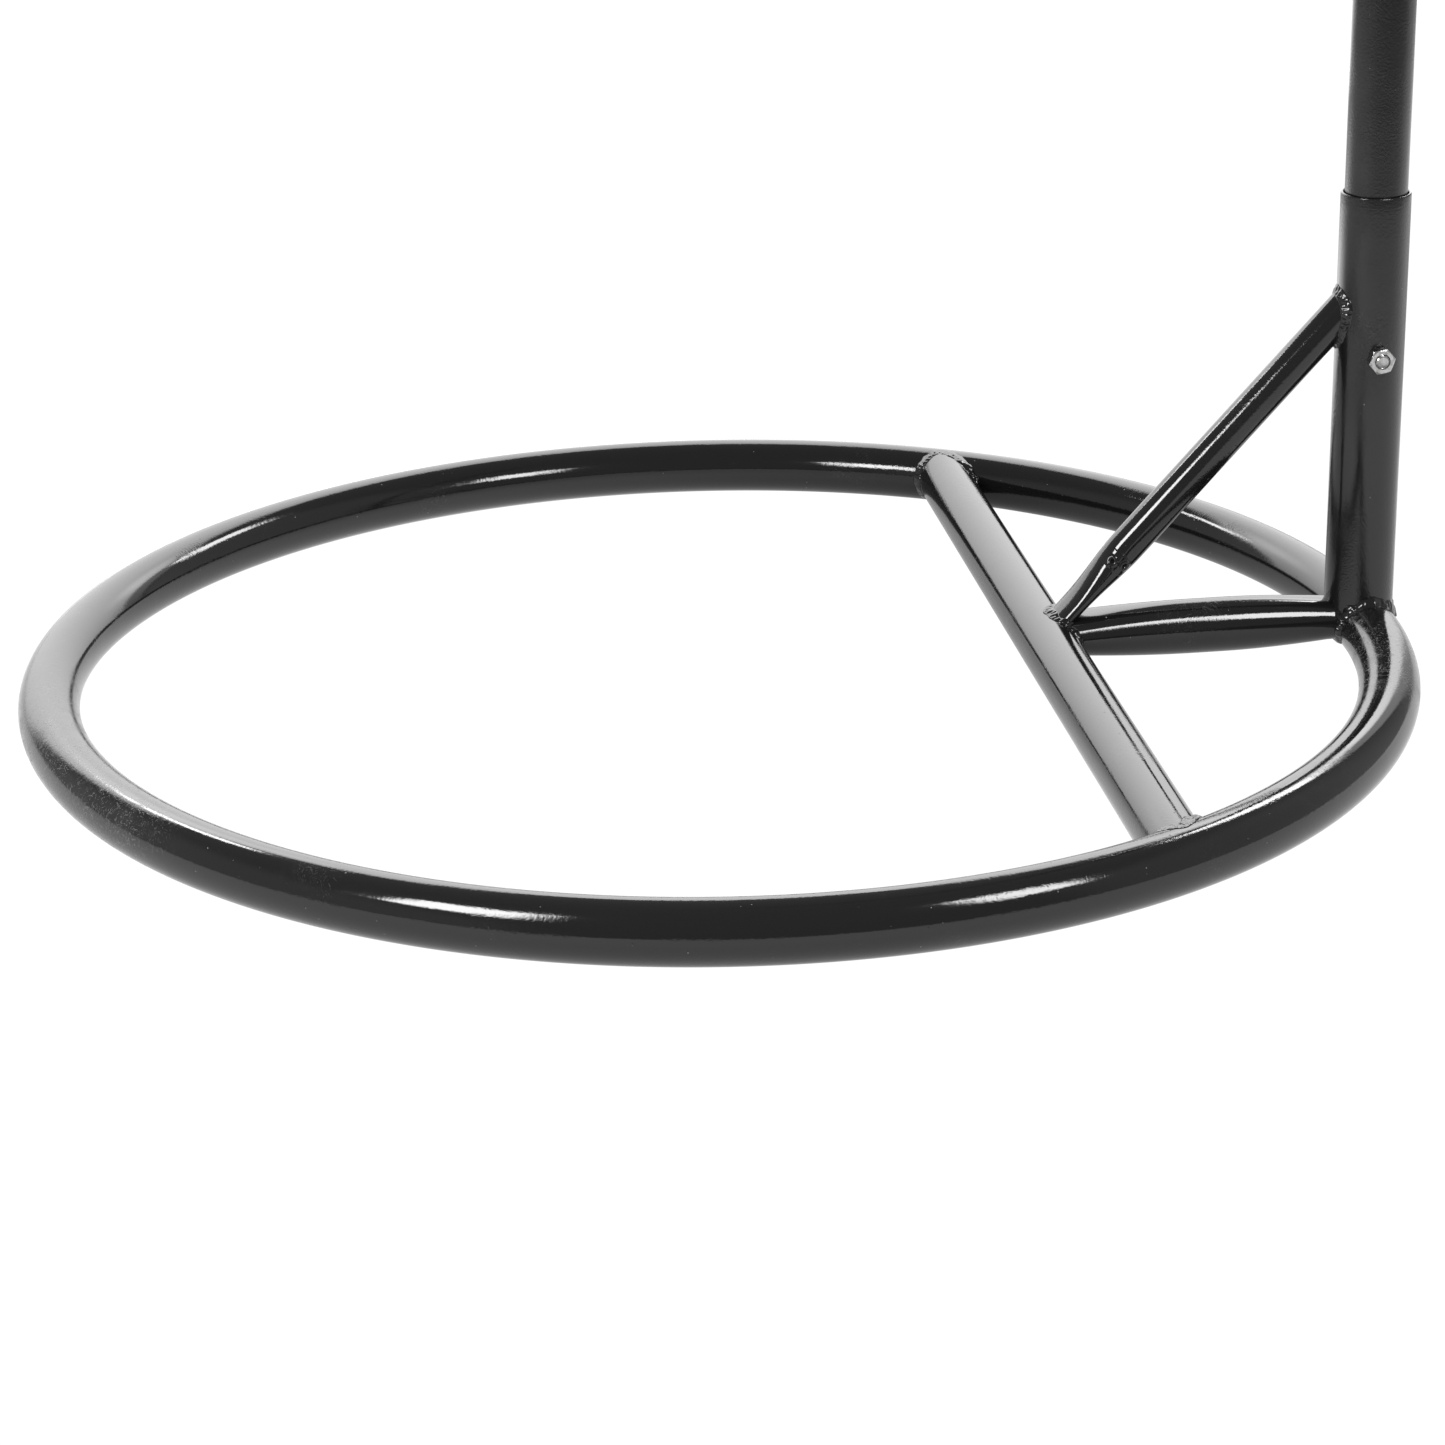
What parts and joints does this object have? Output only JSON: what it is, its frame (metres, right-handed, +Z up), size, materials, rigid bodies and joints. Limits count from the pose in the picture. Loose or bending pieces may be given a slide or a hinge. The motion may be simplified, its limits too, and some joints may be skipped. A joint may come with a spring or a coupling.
{
  "type": "hanging swing seat stand",
  "caption": "Free-standing round-tube stand for a hanging swing seat: floor ring, braced socket, crook mast and swinging snap hook.",
  "frame": {"origin": "centre of the floor ring, on the floor", "axes": "+Z up, +X towards the mast, XZ is the plane of the mast, brace and floor strut"},
  "size_m": [1.0044, 1, 1.9422],
  "materials": {
    "black_paint": "glossy black enamel",
    "weld_paint": "glossy black enamel over weld bead",
    "zinc": "bright zinc plated",
    "cap_plastic": "matt black"
  },
  "bodies": {
    "stand": {"base_ring": "black_paint", "cross_bar": "black_paint", "floor_strut": "black_paint", "brace": "black_paint", "mast_socket": "black_paint", "lower_mast": "black_paint", "upper_arm": "black_paint", "hang_lug": "black_paint", "weld_cross_left": "weld_paint", "weld_cross_right": "weld_paint", "weld_strut_foot": "weld_paint", "weld_strut_head": "weld_paint", "weld_brace_foot": "weld_paint", "weld_brace_head": "weld_paint", "weld_socket": "weld_paint", "weld_lug": "weld_paint", "mast_bolt": "zinc", "mast_nut": "zinc", "arm_bolt": "zinc", "arm_nut": "zinc", "arm_end_cap": "cap_plastic"},
    "hook": {"hook_body": "zinc", "gate_rivet": "zinc"},
    "gate": {"hook_gate": "zinc", "gate_spring": "zinc"}
  },
  "joints": [
    {"name": "hook_swing", "type": "hinge", "parent": "stand", "child": "hook", "pos_m": [0, 0, 1.85873], "axis": [0, 1, 0], "range_deg": [-75, 75]},
    {"name": "gate_open", "type": "hinge", "parent": "hook", "child": "gate", "pos_m": [0, 0.017, 1.78873], "axis": [1, 0, 0], "range_deg": [0, 25], "stiffness_Nm_per_rad": 0.06, "springref_deg": -28.65}
  ]
}
